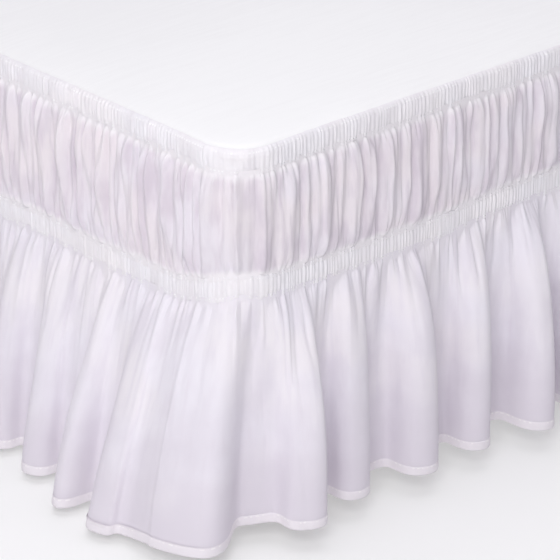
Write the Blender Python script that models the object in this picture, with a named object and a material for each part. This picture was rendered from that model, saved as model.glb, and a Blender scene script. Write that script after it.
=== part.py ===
"""Bed skirt on a plain bed base. Metres, +Z up, +Y towards the head of the bed.

Two bands shirred on elastic grip the sides of the base. A gathered panel hangs
between them, and a ruffle with a narrow hem falls from the lower band.
Places round the bed are given as a distance along the outline of the base. It
starts at the middle of the foot corner on the +X side, and it is positive along
the +X side and negative along the foot side.
"""

import math
import random

import bmesh
import bpy
from mathutils import Vector

# Bed base and legs
BASE_WIDTH = 0.990
BASE_LENGTH = 1.900
CORNER_RADIUS = 0.050
CORNER_STEPS = 8
BASE_EDGE_RADIUS = 0.006
BASE_EDGE_STEPS = 3
LEG_HEIGHT = 0.205
LEG_TOP_RADIUS = 0.030
LEG_FOOT_RADIUS = 0.024
LEG_SIDES = 24
LEG_INSET_X = 0.110
LEG_INSET_Y = 0.110
GAP = 0.0003

# Colour and roughness of each material
BASE_LOOK = ((0.86, 0.85, 0.86), 0.85)
LEG_LOOK = ((0.52, 0.36, 0.22), 0.45)
BAND_LOOK = ((0.90, 0.88, 0.91), 0.90)
PANEL_LOOK = ((0.89, 0.87, 0.90), 0.90)
RUFFLE_LOOK = ((0.90, 0.88, 0.91), 0.90)

# Heights of the skirt
SKIRT_TOP = 0.434
BAND_HEIGHT = 0.025
PANEL_HEIGHT = 0.115
RUFFLE_HEIGHT = 0.241
BAND_STEP = 0.120

# Cloth
BAND_THICKNESS = 0.003
CLOTH_THICKNESS = 0.002
CLOTH_CLEARANCE = 0.0022
MITRE_LIMIT = 1.6

# Gathered panel between the bands
PANEL_SEED = 11
PANEL_FOLD_WIDTHS = (0.018, 0.037)
PANEL_PUFFS = (0.0045, 0.0105)
# Share of the panel's height, and share of the puff there
PANEL_LEVELS = ((0.0, 0.30), (0.5, 1.0), (1.0, 0.30))
# Share of the way from one crease to the next, and share of the puff there
PANEL_SHOULDERS = ((0.0, 0.0), (0.30, 1.0), (0.70, 1.0))

# Ruffle
RUFFLE_SEED = 25
RUFFLE_PITCHES = (0.064, 0.104)
RUFFLE_CRESTS = (0.046, 0.074)
RUFFLE_VALLEYS = (0.006, 0.022)
RUFFLE_OPENINGS = (2.2, 3.0)
CREST_SHARES = (0.42, 0.58)
CORNER_FLARE = 0.024
CORNER_FLARE_REACH = 0.110
FLANK_STEPS = 4
FLANK_STEEPNESS = 0.95
CREST_SHARPNESS = 1.5
RUFFLE_LEVELS = (0.0, 0.38, 1.0)

# How much lower than level the middle band and the hem hang, in millimetres
SAG_COLUMNS = ("at", "band_sag", "hem_sag")
SAG_ROWS = (
    (-968, 8, 8),
    (-600, 16, 14),
    (-367, 21, 18),
    (-290, 17, 18),
    (-200, 19, 18),
    (-76, 14, 17),
    (0, -6, 4),
    (60, -2, 0),
    (160, 1, 0),
    (260, 3, 0),
    (360, -3, 0),
    (700, 2, 1),
    (1300, -2, -1),
    (1878, 3, 2),
    (2360, -5, -5),
    (2847, 2, -3),
    (3500, 6, 3),
    (4200, 2, 1),
)

# Creases of the gathered panel round the foot corner, in millimetres. The puff
# is how far the cloth stands out between this crease and the next one.
CREASE_COLUMNS = ("at", "puff")
CREASE_ROWS = (
    (-358, 7),
    (-340, 5),
    (-325, 8),
    (-297, 7),
    (-266, 9),
    (-229, 9),
    (-198, 6),
    (-176, 6),
    (-150, 5),
    (-132, 9),
    (-100, 8),
    (-76, 5),
    (-62, 8),
    (-38, 7),
    (-15, 9),
    (17, 6),
    (36, 10),
    (71, 5),
    (84, 10),
    (120, 6),
    (134, 7),
    (155, 7),
    (178, 9),
    (208, 5),
    (222, 9),
    (251, 6),
    (268, 6),
    (281, 8),
    (308, 9),
    (335, 6),
    (350, 8),
    (372, 9),
    (398, 6),
    (416, 8),
)

# Folds of the ruffle round the foot corner, in millimetres at the hem. Each
# crest is followed by its valley. A low opening exponent spreads the fold all
# the way down, a high one spreads it near the band. The leans say how much
# further along the band the cloth of a crest or a valley starts.
FOLD_COLUMNS = (
    "crest_at",
    "crest_out",
    "opening",
    "valley_at",
    "valley_out",
    "crest_lean",
    "valley_lean",
)
FOLD_ROWS = (
    (-410, 56, 1.8, -370, 22, 0, 0),
    (-325, 60, 1.6, -285, 30, 0, 0),
    (-252, 70, 1.4, -209, 38, 0, 0),
    (-171, 91, 1.25, -145, 50, 0, 0),
    (-110, 96, 1.15, -62, 76, 0, 0),
    (-14, 79, 1.2, 8, 10, 0, 8),
    (57, 57, 2.6, 86, 6, 18, 15),
    (127, 41, 2.8, 166, 4, 18, 12),
    (219, 50, 2.8, 256, 6, 6, 12),
    (297, 49, 2.8, 334, 6, 20, 14),
    (383, 64, 2.8, 414, 8, 18, 8),
)

SIDE_X = BASE_WIDTH - 2 * CORNER_RADIUS
SIDE_Y = BASE_LENGTH - 2 * CORNER_RADIUS
CORNER_ARC = math.pi / 2 * CORNER_RADIUS
OUTLINE_LENGTH = 2 * SIDE_X + 2 * SIDE_Y + 4 * CORNER_ARC


def outline_point(at, out):
    """Point at a distance along the base outline, moved outwards by out."""
    run = (at + CORNER_ARC / 2) % OUTLINE_LENGTH
    half_x = SIDE_X / 2
    half_y = SIDE_Y / 2
    corners = (
        (half_x, -half_y, -90, SIDE_Y),
        (half_x, half_y, 0, SIDE_X),
        (-half_x, half_y, 90, SIDE_Y),
        (-half_x, -half_y, 180, SIDE_X),
    )
    reach = CORNER_RADIUS + out
    for centre_x, centre_y, start, side in corners:
        if run < CORNER_ARC:
            angle = math.radians(start) + run / CORNER_RADIUS
            return (
                centre_x + reach * math.cos(angle),
                centre_y + reach * math.sin(angle),
            )
        run -= CORNER_ARC
        angle = math.radians(start + 90)
        if run < side:
            return (
                centre_x + reach * math.cos(angle) - run * math.sin(angle),
                centre_y + reach * math.sin(angle) + run * math.cos(angle),
            )
        run -= side
    return outline_point(0.0, out)


def blend(start, end, share):
    return start + (end - start) * share


def read_rows(columns, rows):
    """Rows of a table in millimetres as dictionaries."""
    return [dict(zip(columns, row)) for row in rows]


def sag(at, column):
    """Sag at a place round the bed, even between the rows of the table."""
    rows = read_rows(SAG_COLUMNS, SAG_ROWS)
    lap = OUTLINE_LENGTH * 1000
    first = rows[0]["at"]
    place = (at * 1000 - first) % lap + first
    rows.append(dict(rows[0], at=first + lap))
    for low, high in zip(rows, rows[1:]):
        if place <= high["at"]:
            share = (place - low["at"]) / (high["at"] - low["at"])
            return blend(low[column], high[column], share) / 1000
    return rows[0][column] / 1000


def sag_places():
    """Places where the sag changes slope, over more than one lap."""
    first_lap = [row[0] / 1000 for row in SAG_ROWS]
    return first_lap + [place + OUTLINE_LENGTH for place in first_lap]


def with_sag_places(columns):
    """The columns with one more wherever the sag changes slope."""
    full = list(columns)
    last = dict(columns[0])
    last["band_at"] = columns[0]["band_at"] + OUTLINE_LENGTH
    if "hem_at" in last:
        last["hem_at"] = columns[0]["hem_at"] + OUTLINE_LENGTH
    for low, high in zip(columns, columns[1:] + [last]):
        for place in sag_places():
            if low["band_at"] < place < high["band_at"]:
                width = high["band_at"] - low["band_at"]
                share = (place - low["band_at"]) / width
                names = list(low)
                full.append({name: blend(low[name], high[name], share) for name in names})
    return sorted(full, key=lambda column: column["band_at"])


def heading_upper(at):
    return SKIRT_TOP


def heading_lower(at):
    return heading_upper(at) - BAND_HEIGHT


def middle_upper(at):
    return heading_lower(at) - PANEL_HEIGHT - sag(at, "band_sag")


def middle_lower(at):
    return middle_upper(at) - BAND_HEIGHT


def hem_height(at):
    level = SKIRT_TOP - 2 * BAND_HEIGHT - PANEL_HEIGHT - RUFFLE_HEIGHT
    return level - sag(at, "hem_sag")


def make_material(name, look):
    colour, roughness = look
    material = bpy.data.materials.new(name)
    material.use_nodes = True
    shader = material.node_tree.nodes["Principled BSDF"]
    shader.inputs["Base Color"].default_value = (*colour, 1.0)
    shader.inputs["Roughness"].default_value = roughness
    shader.inputs["Metallic"].default_value = 0.0
    return material


def add_object(name, mesh_data, look):
    """Make an object from a bmesh, with its own material."""
    bmesh.ops.recalc_face_normals(mesh_data, faces=mesh_data.faces)
    mesh = bpy.data.meshes.new(name)
    mesh_data.to_mesh(mesh)
    mesh_data.free()
    thing = bpy.data.objects.new(name, mesh)
    bpy.context.scene.collection.objects.link(thing)
    mesh.materials.append(make_material(name + "_material", look))
    return thing


def corner_normal(corner, first, second):
    """Normal of the triangle at a corner, as long as the angle there is wide."""
    one = (first - corner).normalized()
    two = (second - corner).normalized()
    return one.cross(two).normalized() * one.angle(two)


def inner_rows_of(outer_rows):
    """The rows moved inwards by the cloth's thickness, square to the cloth.

    The first and the last row stay level, so that the cloth's edges are flat.
    """
    rows = [[Vector(point) for point in row] for row in outer_rows]
    count = len(rows[0])
    last = len(rows) - 1
    normals = [[Vector((0, 0, 0)) for _ in row] for row in rows]
    faces = [[[] for _ in row] for row in rows]
    for level in range(last):
        for index in range(count):
            after = (index + 1) % count
            low = ((level, index), (level, after))
            high = ((level + 1, index), (level + 1, after))
            for triangle in ((high[0], high[1], low[1]), (high[0], low[1], low[0])):
                corners = [rows[place[0]][place[1]] for place in triangle]
                for turn, (row, column) in enumerate(triangle):
                    share = corner_normal(
                        corners[turn],
                        corners[(turn + 1) % 3],
                        corners[(turn + 2) % 3],
                    )
                    normals[row][column] += share
                    faces[row][column].append(share.normalized())
    inner = []
    for level, row in enumerate(rows):
        moved = []
        for index, point in enumerate(row):
            away = normals[level][index].copy()
            if level in (0, last):
                away.z = 0.0
            away.normalize()
            closest = min(away.dot(normal) for normal in faces[level][index])
            reach = CLOTH_THICKNESS * min(1 / max(closest, 0.001), MITRE_LIMIT)
            moved.append(tuple(point + away * reach))
        inner.append(moved)
    return inner


def closed_sheet(outer_rows, inner_rows):
    """Closed body between two sets of rows that run once round the bed."""
    body = bmesh.new()
    outer = [[body.verts.new(point) for point in row] for row in outer_rows]
    inner = [[body.verts.new(point) for point in row] for row in inner_rows]
    count = len(outer[0])

    def strip(first, second):
        for index in range(count):
            after = (index + 1) % count
            body.faces.new((first[index], first[after], second[after]))
            body.faces.new((first[index], second[after], second[index]))

    for level in range(len(outer) - 1):
        strip(outer[level], outer[level + 1])
        strip(inner[level], inner[level + 1])
    strip(outer[0], inner[0])
    strip(inner[-1], outer[-1])
    return body


def outline_stations(longest_step):
    """Even places round the bed, with fixed steps on each corner."""
    places = []
    run = -CORNER_ARC / 2
    for side in (SIDE_Y, SIDE_X, SIDE_Y, SIDE_X):
        for step in range(CORNER_STEPS):
            places.append(run + CORNER_ARC * step / CORNER_STEPS)
        run += CORNER_ARC
        steps = math.ceil(side / longest_step)
        for step in range(steps):
            places.append(run + side * step / steps)
        run += side
    return places


def build_base():
    """Plain base with rounded corners and a small round along its edges."""
    places = outline_stations(BASE_LENGTH)
    bottom = LEG_HEIGHT + GAP
    profile = []
    for step in range(BASE_EDGE_STEPS + 1):
        angle = math.pi / 2 * step / BASE_EDGE_STEPS
        inset = BASE_EDGE_RADIUS * (1 - math.sin(angle))
        rise = BASE_EDGE_RADIUS * (1 - math.cos(angle))
        profile.append((inset, rise))
    levels = [(inset, bottom + rise) for inset, rise in profile]
    levels += [(inset, SKIRT_TOP - rise) for inset, rise in reversed(profile)]
    body = bmesh.new()
    rings = []
    for inset, height in levels:
        points = [outline_point(place, -inset) for place in places]
        rings.append([body.verts.new((x, y, height)) for x, y in points])
    count = len(places)
    for low, high in zip(rings, rings[1:]):
        for index in range(count):
            after = (index + 1) % count
            body.faces.new((low[index], low[after], high[after], high[index]))
    body.faces.new(rings[0])
    body.faces.new(rings[-1])
    return add_object("bed_base", body, BASE_LOOK)


def build_leg(name, centre_x, centre_y):
    """Round leg that narrows towards the floor."""
    body = bmesh.new()
    rings = []
    for radius, height in ((LEG_FOOT_RADIUS, 0.0), (LEG_TOP_RADIUS, LEG_HEIGHT)):
        ring = []
        for side in range(LEG_SIDES):
            angle = 2 * math.pi * side / LEG_SIDES
            x = centre_x + radius * math.cos(angle)
            y = centre_y + radius * math.sin(angle)
            ring.append(body.verts.new((x, y, height)))
        rings.append(ring)
    low, high = rings
    for side in range(LEG_SIDES):
        after = (side + 1) % LEG_SIDES
        body.faces.new((low[side], low[after], high[after], high[side]))
    body.faces.new(low)
    body.faces.new(high)
    return add_object(name, body, LEG_LOOK)


def build_legs():
    leg_x = BASE_WIDTH / 2 - LEG_INSET_X
    leg_y = BASE_LENGTH / 2 - LEG_INSET_Y
    build_leg("leg_foot_right", leg_x, -leg_y)
    build_leg("leg_foot_left", -leg_x, -leg_y)
    build_leg("leg_head_right", leg_x, leg_y)
    build_leg("leg_head_left", -leg_x, leg_y)


def build_band(name, upper_edge, lower_edge):
    """Strip of shirred elastic round the base between two edges."""
    wanted = outline_stations(BAND_STEP) + sag_places()
    places = sorted({round(place % OUTLINE_LENGTH, 7) for place in wanted})
    outer_rows = []
    inner_rows = []
    for edge in (lower_edge, upper_edge):
        outer = [outline_point(place, GAP + BAND_THICKNESS) for place in places]
        inner = [outline_point(place, GAP) for place in places]
        heights = [edge(place) for place in places]
        outer_rows.append([(x, y, z) for (x, y), z in zip(outer, heights)])
        inner_rows.append([(x, y, z) for (x, y), z in zip(inner, heights)])
    return add_object(name, closed_sheet(outer_rows, inner_rows), BAND_LOOK)


def panel_creases():
    """Creases all round the bed, each with the puff that follows it."""
    chance = random.Random(PANEL_SEED)
    rows = read_rows(CREASE_COLUMNS, CREASE_ROWS)
    creases = [(row["at"] / 1000, row["puff"] / 1000) for row in rows]
    place = creases[-1][0] + sum(PANEL_FOLD_WIDTHS) / 2
    end = creases[0][0] + OUTLINE_LENGTH
    while place < end - PANEL_FOLD_WIDTHS[0]:
        creases.append((place, chance.uniform(*PANEL_PUFFS)))
        place += chance.uniform(*PANEL_FOLD_WIDTHS)
    return creases


def build_upper_panel():
    """Gathered cloth between the bands, in soft upright folds."""
    creases = panel_creases()
    lap_end = creases[0][0] + OUTLINE_LENGTH
    ends = [place for place, _ in creases[1:]] + [lap_end]
    columns = []
    for (start, puff), end in zip(creases, ends):
        for share, part in PANEL_SHOULDERS:
            columns.append({"band_at": blend(start, end, share), "puff": puff * part})
    columns = with_sag_places(columns)
    outer_rows = []
    for level, swell in PANEL_LEVELS:
        row = []
        for column in columns:
            place = column["band_at"]
            out = CLOTH_CLEARANCE + CLOTH_THICKNESS + column["puff"] * swell
            x, y = outline_point(place, out)
            low = middle_upper(place) + GAP
            high = heading_lower(place) - GAP
            row.append((x, y, blend(low, high, level)))
        outer_rows.append(row)
    body = closed_sheet(outer_rows, inner_rows_of(outer_rows))
    return add_object("upper_panel", body, PANEL_LOOK)


def ruffle_folds():
    """Folds all round the bed in metres, crest and valley in turn."""
    chance = random.Random(RUFFLE_SEED)
    folds = []
    for row in read_rows(FOLD_COLUMNS, FOLD_ROWS):
        lengths = {name: row[name] / 1000 for name in row if name != "opening"}
        folds.append(dict(row, **lengths))
    start = folds[-1]["valley_at"]
    end = folds[0]["crest_at"] + OUTLINE_LENGTH
    mean = sum(RUFFLE_PITCHES) / 2
    count = round((end - start - mean / 2) / mean)
    widths = [chance.uniform(*RUFFLE_PITCHES) for _ in range(count)]
    scale = (end - start) / (sum(widths) + mean / 2)
    place = start
    for width in widths:
        width *= scale
        crest = place + width * chance.uniform(*CREST_SHARES)
        folds.append({
            "crest_at": crest,
            "crest_out": chance.uniform(*RUFFLE_CRESTS) + corner_flare(crest),
            "opening": chance.uniform(*RUFFLE_OPENINGS),
            "valley_at": place + width,
            "valley_out": chance.uniform(*RUFFLE_VALLEYS),
            "crest_lean": 0.0,
            "valley_lean": 0.0,
        })
        place += width
    return folds


def corner_flare(at):
    """Extra outward reach of a crest near a corner of the bed."""
    corner = CORNER_ARC / 2
    flare = 0.0
    for side in (SIDE_Y, SIDE_X, SIDE_Y, SIDE_X):
        away = abs(at % OUTLINE_LENGTH - corner + CORNER_ARC / 2)
        away = min(away, OUTLINE_LENGTH - away)
        flare = max(flare, CORNER_FLARE * (1 - away / CORNER_FLARE_REACH))
        corner += side + CORNER_ARC
    return flare


def hem_rise(even_rise, to_crest):
    """Share of the way out to the next turning point, with narrow crests."""
    if to_crest:
        return even_rise ** CREST_SHARPNESS
    return 1 - (1 - even_rise) ** CREST_SHARPNESS


def flank(start, end):
    """Columns from one turning point of the hem up to the next."""
    columns = []
    for step in range(FLANK_STEPS):
        turn = 2 * math.pi * step / FLANK_STEPS
        even = step / FLANK_STEPS
        bunched = even + FLANK_STEEPNESS * math.sin(turn) / (2 * math.pi)
        rise = hem_rise((1 - math.cos(turn / 2)) / 2, end[1] > start[1])
        columns.append({
            "band_at": blend(start[0] + start[3], end[0] + end[3], even),
            "hem_at": blend(start[0], end[0], bunched),
            "hem_out": blend(start[1], end[1], rise),
            "opening": blend(start[2], end[2], rise),
        })
    return columns


def ruffle_columns():
    """All columns of the ruffle, once round the bed."""
    turns = []
    for fold in ruffle_folds():
        for turn in ("crest", "valley"):
            at, out, lean = (fold[turn + part] for part in ("_at", "_out", "_lean"))
            turns.append((at, out, fold["opening"], lean))
    turns.append((turns[0][0] + OUTLINE_LENGTH,) + turns[0][1:])
    columns = []
    for start, end in zip(turns, turns[1:]):
        columns += flank(start, end)
    return columns


def build_ruffle():
    """Lower tier, flat at the band and open in deep folds at the hem."""
    rest = CLOTH_CLEARANCE + CLOTH_THICKNESS
    columns = with_sag_places(ruffle_columns())
    outer_rows = []
    for level in reversed(RUFFLE_LEVELS):
        row = []
        for column in columns:
            spread = 1 - (1 - level) ** column["opening"]
            at = blend(column["band_at"], column["hem_at"], spread)
            x, y = outline_point(at, blend(rest, column["hem_out"], spread))
            top = middle_lower(column["band_at"]) - GAP
            row.append((x, y, blend(top, hem_height(at), level)))
        outer_rows.append(row)
    body = closed_sheet(outer_rows, inner_rows_of(outer_rows))
    return add_object("ruffle", body, RUFFLE_LOOK)


def build_all():
    for thing in list(bpy.data.objects):
        bpy.data.objects.remove(thing)
    build_base()
    build_legs()
    build_band("heading_band", heading_upper, heading_lower)
    build_upper_panel()
    build_band("middle_band", middle_upper, middle_lower)
    build_ruffle()


build_all()
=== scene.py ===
"""Looks of the bed skirt: shirred bands, gathered panel and ruffle as thin cloth.

Places round the bed are distances along the outline of the base, from the middle
of the foot corner on the +X side, positive along the +X side. Distances down the
cloth are measured from the band that the cloth hangs from. All are in metres
unless a table says millimetres.
"""

import math
import random

import bmesh
import bpy
import numpy as np
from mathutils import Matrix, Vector


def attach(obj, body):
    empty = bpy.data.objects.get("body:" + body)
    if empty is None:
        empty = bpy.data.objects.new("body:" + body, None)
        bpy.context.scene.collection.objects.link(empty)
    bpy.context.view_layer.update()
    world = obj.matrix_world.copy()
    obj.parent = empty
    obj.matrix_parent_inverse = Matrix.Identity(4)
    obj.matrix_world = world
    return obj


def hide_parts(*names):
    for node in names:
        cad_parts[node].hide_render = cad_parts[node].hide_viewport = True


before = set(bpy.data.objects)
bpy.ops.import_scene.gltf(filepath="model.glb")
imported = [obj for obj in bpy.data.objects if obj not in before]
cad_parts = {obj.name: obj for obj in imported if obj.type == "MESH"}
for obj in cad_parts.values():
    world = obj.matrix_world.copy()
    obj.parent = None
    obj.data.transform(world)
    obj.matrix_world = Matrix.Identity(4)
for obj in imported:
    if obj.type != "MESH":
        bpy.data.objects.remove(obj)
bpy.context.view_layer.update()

# Base and heights, the same as the solids
BASE_WIDTH = 0.990
BASE_LENGTH = 1.900
CORNER_RADIUS = 0.050
LEG_HEIGHT = 0.205
SKIRT_TOP = 0.434
BAND_HEIGHT = 0.025
PANEL_HEIGHT = 0.115
RUFFLE_HEIGHT = 0.241
HEM_HEIGHT = 0.010
HEM_LINE = RUFFLE_HEIGHT - HEM_HEIGHT
GAP = 0.0003

# Main folds of panel and ruffle, the same as the solids apart from the panel's tilts
PANEL_SEED = 11
PANEL_FOLD_WIDTHS = (0.018, 0.037)
PANEL_PUFFS = (0.0045, 0.0105)
PANEL_TILTS = (0.2, 0.8)
RUFFLE_SEED = 25
RUFFLE_PITCHES = (0.064, 0.104)
RUFFLE_CRESTS = (0.046, 0.074)
RUFFLE_VALLEYS = (0.006, 0.022)
RUFFLE_OPENINGS = (2.2, 3.0)
CREST_SHARES = (0.42, 0.58)
# Extra outward reach of a crest near a corner
CORNER_FLARE = 0.024
CORNER_FLARE_REACH = 0.110
FLANK_STEEPNESS = 0.95
CREST_SHARPNESS = 1.5
FLANK_POINTS = 65

# Place, and how much lower than level the middle band and the hem hang, in millimetres
SAG_ROWS = (
    (-968, 8, 8), (-600, 16, 14), (-367, 21, 18), (-290, 17, 18), (-200, 19, 18),
    (-76, 14, 17), (0, -6, 4), (60, -2, 0), (160, 1, 0), (260, 3, 0),
    (360, -3, 0), (700, 2, 1), (1300, -2, -1), (1878, 3, 2), (2360, -5, -5),
    (2847, 2, -3), (3500, 6, 3), (4200, 2, 1),
)
# Creases of the panel: place and outward puff up to the next crease, in millimetres,
# and the share of the way there at which the puff has its crest
CREASE_ROWS = (
    (-358, 7, 0.4), (-340, 5, 0.2), (-325, 8, 0.45), (-297, 7, 0.55), (-266, 9, 0.5),
    (-229, 9, 0.4), (-198, 6, 0.75), (-176, 6, 0.6), (-150, 5, 0.5), (-132, 9, 0.3),
    (-100, 8, 0.6), (-76, 5, 0.6), (-62, 8, 0.35), (-38, 7, 0.3), (-15, 9, 0.5),
    (17, 6, 0.4), (36, 10, 0.5), (71, 5, 0.4), (84, 10, 0.38), (120, 6, 0.15),
    (134, 7, 0.6), (155, 7, 0.45), (178, 9, 0.4), (208, 5, 0.6), (222, 9, 0.2),
    (251, 6, 0.2), (268, 6, 0.8), (281, 8, 0.25), (308, 9, 0.75), (335, 6, 0.5),
    (350, 8, 0.3), (372, 9, 0.3), (398, 6, 0.5), (416, 8, 0.5),
)
# Folds of the ruffle at the hem: place and outward reach of the crest, opening,
# place and reach of the valley, and how much further along the band the cloth of
# crest and valley starts. All but the opening are in millimetres.
FOLD_ROWS = (
    (-410, 56, 1.8, -370, 22, 0, 0),
    (-325, 60, 1.6, -285, 30, 0, 0),
    (-252, 70, 1.4, -209, 38, 0, 0),
    (-171, 91, 1.25, -145, 50, 0, 0),
    (-110, 96, 1.15, -62, 76, 0, 0),
    (-14, 79, 1.2, 8, 10, 0, 8),
    (57, 57, 2.6, 86, 6, 18, 15),
    (127, 41, 2.8, 166, 4, 18, 12),
    (219, 50, 2.8, 256, 6, 6, 12),
    (297, 49, 2.8, 334, 6, 20, 14),
    (383, 64, 2.8, 414, 8, 18, 8),
)

SIDE_X = BASE_WIDTH - 2 * CORNER_RADIUS
SIDE_Y = BASE_LENGTH - 2 * CORNER_RADIUS
CORNER_ARC = math.pi / 2 * CORNER_RADIUS
LAP = 2 * SIDE_X + 2 * SIDE_Y + 4 * CORNER_ARC

# Columns are closest together round the foot corner on the +X side, and rows near a
# band have FINE times as many
DRAWN_COLUMNS = 2500
FINE = 2
FINE_REACH = 0.0175
DENSE_FROM = -0.46
DENSE_TO = 0.52
DENSE_EDGE = 0.2
DENSITY = 2.2
DENSITY_POINTS = 8001

# Where the halves of a cloth start, as shares of its columns: the near half has the
# foot corner on the +X side in its middle
NEAR_START = 0.75
FAR_START = 0.25
TINY_SHARE = 1e-9
TINY_LENGTH = 1e-6

# Strips of the second UV layer
BAND_STRIPS = 10
PANEL_STRIPS = 5
RUFFLE_STRIPS = 4
STRIP_GAP = 0.010

# Rows of the cloth from its band, in millimetres. The first ones lie behind the
# band, and the last ones of the ruffle are turned up inside the hem.
PANEL_DOWN = np.array([
    -4.5, -2.5, -1, 0.5, 2, 4, 6.5, 9.5, 13, 17, 22, 28, 34.5, 41.5, 48.5, 55.5, 62.5,
    69.5, 76, 82, 87.5, 92.5, 97, 101, 104.5, 107.5, 110, 112, 113.5, 114.5, 116, 117.5, 119.5,
]) / 1000
RUFFLE_DOWN = np.array(
    [-4.5, -2.5, -1, 0.5, 2, 4, 6.5, 9.5, 13, 17]
    + list(np.linspace(21.5, 225, 36))
    + [228.8, 230.2, 230.8, 231.4, 232.6, 236, 239.4, 241, 241.8, 242.6, 246, 252.5]
) / 1000
# Along the hem: distance down the cloth, outward step and rise back up
HEM_DOWN = np.array(
    [0, 228.8, 230.2, 230.8, 231.4, 232.6, 239.4, 241, 241.8, 242.6, 246, 252.5]
) / 1000
HEM_OUT = np.array([0, 0, -0.2, -0.5, 0.1, 0.6, 0.7, 0.4, -0.4, -1.0, -1.1, -1.1]) / 1000
HEM_RISE = np.array([0, 0, 0, 0, 0, 0, 0, 0, -0.1, 0.6, 4.0, 10.5]) / 1000
# Across a band: distance from its upper edge, outward distance of the cloth and
# depth of the pleats, in millimetres
BAND_PROFILE = (
    (-0.2, 0.6, 0.2), (0.3, 1.9, 0.6), (1.6, 2.5, 0.9), (3.2, 2.0, 0.5),
    (5.0, 2.7, 1.0), (9.0, 2.9, 1.1), (13.0, 2.9, 1.1), (17.0, 2.9, 1.1),
    (20.4, 2.7, 1.0), (22.2, 2.0, 0.5), (23.8, 2.4, 0.9), (25.0, 2.0, 0.8),
)

# How far out the cloth starts at a band, hangs, and is at the least
BAND_OUT = 0.0014
CLOTH_OUT = 0.0042
LEAST_OUT = 0.0022
LEAST_BAND_OUT = 0.0004

# The tables below hold layers of narrow folds and random curves round the bed.
# A layer of folds has its seed, the least and most distance between its creases,
# the distance down the cloth over which it changes, and the share of a fold's
# height that never changes. A layer of pinches has the width of a pinch instead
# of that share. A curve has its seed, the length of a swing, its mean and its
# swing. Seeds under 100 are added to the seed of a band.
FACET_SEEDS = 1000
WANDER_SEEDS = 2000
PINCH_SEEDS = 3000
PATCH_SEEDS = 17
COMMON_HEIGHTS = (0.25, 1)
TURNING_HEIGHTS = (-0.25, 1)
PINCH_STRENGTHS = (-0.7, 1)
NARROW_DRIFT = 0.16
PINCH_DRIFT = 0.14

# How near a corner of the base counts, the dip of the heading there, and its lean
# inwards over the rounded edge of the base. Fades are a reach and a power.
CORNER_FADE = (0.034, 4)
CORNER_DIP = 0.0022
CORNER_DIP_FADE = (0.050, 2)
TOP_LEAN = 0.0026
TOP_LEAN_FADE = (0.0022, 2)

# Shirring of the bands. Its pleats are read from BAND_START at a band's upper edge,
# so that they run on into the cloth above and below it.
HEADING_SEED = 41
MIDDLE_SEED = 51
BAND_START = 0.030
SHIRR_PLEATS = (0, (0.0010, 0.0036), 0.008, 0.35)
SHIRR_BROAD = (3, (0.004, 0.013), 0.012, 0.4)
BROAD_SHARE = 0.45
SHIRR_STRENGTH = (9, 0.014, 0.85, 0.5)
BAND_SWELL = (7, 0.03, 1.0, 0.14)
CORNER_CRUMPLES = (21, (0.004, 0.012), 0.006, 0.2)
CRUMPLE_HEIGHT = 2.2
HEADING_PLEATS = (1.2, -0.7)
MIDDLE_PLEATS = (1.0, 0.7)
# A band's edges are uneven from its pleats and from folds, most at the very edge
RAGGED_EDGE = 0.0006
RAGGED_FOLDS = 0.0022
RAGGED_LAYER = (11, (0.003, 0.009), 0.01, 0.5)
RAGGED_RANGE = (-0.6, 1)
RAGGED_POWER = 5
TOP_RAGGED = 1 / 4
# Folds of the cloth sewn to a band run a little way into it
EDGE_RUN = 0.0011
EDGE_RUN_FADE = (0.0075, 1.5)
# Its pleats run out into the cloth sewn to it
PUCKER_HEIGHT = 0.0008
PUCKER_REACH = 0.004
PUCKER_SWING = 0.009
PUCKER_SHORT = (5, 0.007, 1.0, 1.0)
PUCKER_LONG = (6, 0.06, 0.6, 0.4)
PUCKER_LEAST = 0.003
PUCKER_POWER = 1.3

# Gathered panel. Pairs are a share on the long sides and what the foot and head
# sides add to it, and corner losses are what a corner takes away.
BELLY = 0.0064
BELLY_FALL = 0.009
BELLY_RISE = 0.013
LIVELY = (0.94, 0.36)
MAIN_FACETS = {"seed": 311, "depth": 0.034, "keep": 0.55, "drift": 0.10}
MAIN_SHARE = (0.95, -0.20)
MAIN_CORNER_LOSS = 0.25
MAIN_START = 0.014
# Middling folds: some hang from the heading, others stand on the middle band. STARTS
# are how far from each band they come in, CALM the mean and swing of their strength.
MIDDLING_HEIGHT = 0.0040
MIDDLING_ABOVE = (331, (0.005, 0.017), 0.040, 0.4)
MIDDLING_BELOW = (333, (0.005, 0.015), 0.040, 0.4)
MIDDLING_CORNER_LOSS = 0.45
MEETING = (315, 0.022, 0.52, 0.30)
MEETING_DEPTH = 0.30
STARTS = ((319, 0.009, 0.0085, 0.006), (320, 0.009, 0.0085, 0.006))
CALM_PATCHES = (325, 0.028, 0.050)
CALM = (0.95, 0.75)
# Small folds, finest folds, and narrow creases and ridges: their height, how far
# from a band they come in, and their layer
CRISP = (1.0, 0.7)
CRISP_CORNER_LOSS = 0.3
SMALL_FOLDS = (341, (0.003, 0.008), 0.030, 0.1)
SMALL_START = 0.0035
SMALL_HEIGHT = 0.0010
SMALL_EDGE_HEIGHT = 0.0014
SMALL_EDGE_FADE = (0.020, 1.5)
FINEST_FOLDS = (345, (0.0025, 0.0055), 0.030, 0.1)
FINEST_HEIGHT = 0.0006
PANEL_PINCHES = (
    (-0.0021, 0.0012, (361, (0.011, 0.036), 0.028, 0.0011)),
    (0.0017, 0.0012, (371, (0.014, 0.040), 0.026, 0.0013)),
)

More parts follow.
